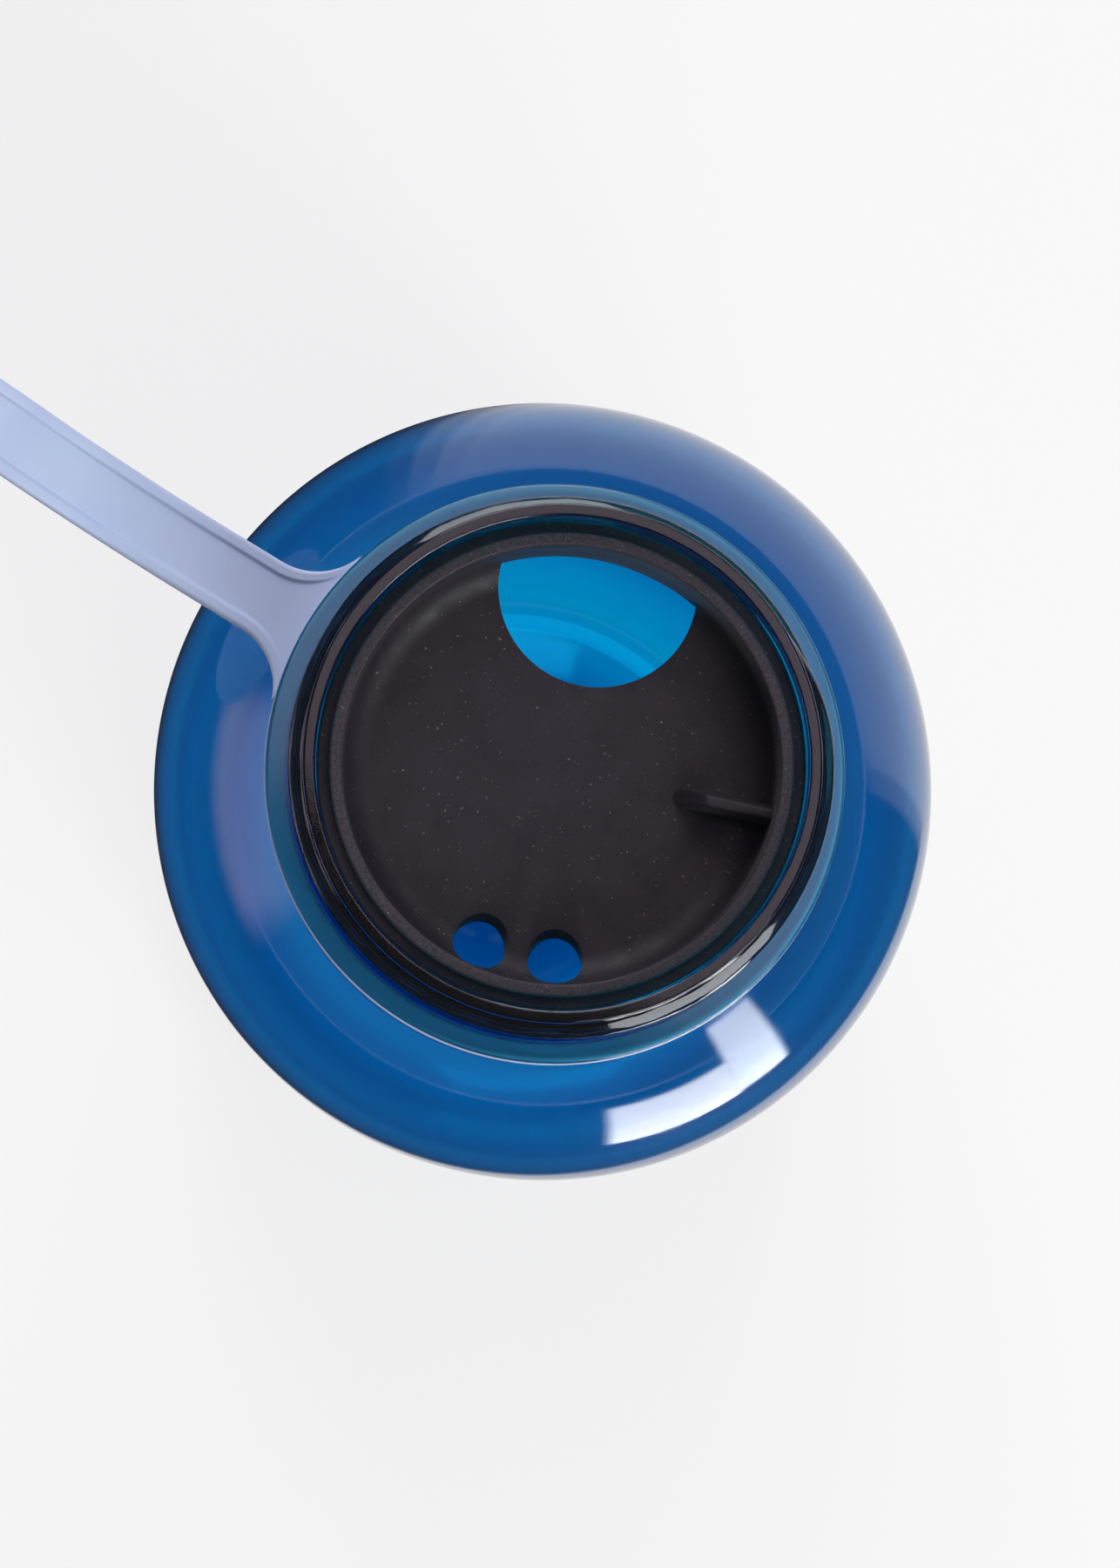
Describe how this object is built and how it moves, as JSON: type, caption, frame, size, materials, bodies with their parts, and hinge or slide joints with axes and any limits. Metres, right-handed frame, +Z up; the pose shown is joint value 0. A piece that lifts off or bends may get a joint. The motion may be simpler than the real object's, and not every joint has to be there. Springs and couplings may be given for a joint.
{
  "type": "tethered screw-cap water bottle",
  "caption": "Wide-mouth see-through water bottle with a screw cap on a springy moulded strap and a soft splash guard in its mouth.",
  "frame": {"origin": "on the bottle's axis, in the plane of the ring that the bottle stands on", "axes": "+Z up along the bottle's axis, towards its mouth; the strap leaves the neck along -X; +Y completes the right-handed frame"},
  "size_m": [0.1999, 0.096, 0.196],
  "materials": {
    "bottle_plastic": "clear deep blue copolyester, polished",
    "guard_silicone": "matte black silicone",
    "tether_plastic": "satin light periwinkle",
    "cap_plastic": "satin light periwinkle",
    "seal_silicone": "translucent grey silicone"
  },
  "bodies": {
    "bottle": {"bottle_body": "bottle_plastic"},
    "guard": {"splash_guard": "guard_silicone"},
    "ring": {"tether_ring": "tether_plastic"},
    "link_1": {"strap_link_1": "tether_plastic"},
    "link_2": {"strap_link_2": "tether_plastic"},
    "link_3": {"strap_link_3": "tether_plastic"},
    "eye": {"strap_end": "tether_plastic"},
    "cap": {"cap": "cap_plastic", "cap_seal": "seal_silicone"}
  },
  "joints": [
    {"name": "guard_lift", "type": "slide", "parent": "bottle", "child": "guard", "axis": [0, 0, 1], "range_m": [0, 0.016]},
    {"name": "ring_turn", "type": "hinge", "parent": "bottle", "child": "ring", "pos_m": [0, 0, 0.17165], "axis": [0, 0, 1], "continuous": true},
    {"name": "strap_flex_1", "type": "hinge", "parent": "ring", "child": "link_1", "pos_m": [-0.048, 0, 0.17165], "axis": [0, 1, 0], "range_deg": [-0.62, 35.46], "stiffness_Nm_per_rad": 0.1, "springref_deg": 9.79},
    {"name": "strap_flex_2", "type": "hinge", "parent": "link_1", "child": "link_2", "pos_m": [-0.07343, 0, 0.18141], "axis": [0, 1, 0], "range_deg": [-1.12, 67.1], "stiffness_Nm_per_rad": 0.1, "springref_deg": 6.67},
    {"name": "strap_fold", "type": "hinge", "parent": "link_2", "child": "link_3", "pos_m": [-0.09256, 0, 0.18618], "axis": [0, 1, 0], "range_deg": [-1.5, 94], "stiffness_Nm_per_rad": 0.1, "springref_deg": 4.35},
    {"name": "strap_flex_4", "type": "hinge", "parent": "link_3", "child": "eye", "pos_m": [-0.10721, 0, 0.17299], "axis": [0, 1, 0], "range_deg": [-0.91, 53.62], "stiffness_Nm_per_rad": 0.1, "springref_deg": 2.61},
    {"name": "cap_turn", "type": "hinge", "parent": "eye", "child": "cap", "pos_m": [-0.1197, 0, 0.13869], "axis": [-0.9397, 0, 0.342], "continuous": true}
  ],
  "couplings": [
    {"joint": "strap_flex_1", "follows": "strap_fold", "ratio": 0.3767},
    {"joint": "strap_flex_2", "follows": "strap_fold", "ratio": 0.7132},
    {"joint": "strap_flex_4", "follows": "strap_fold", "ratio": 0.5698}
  ]
}
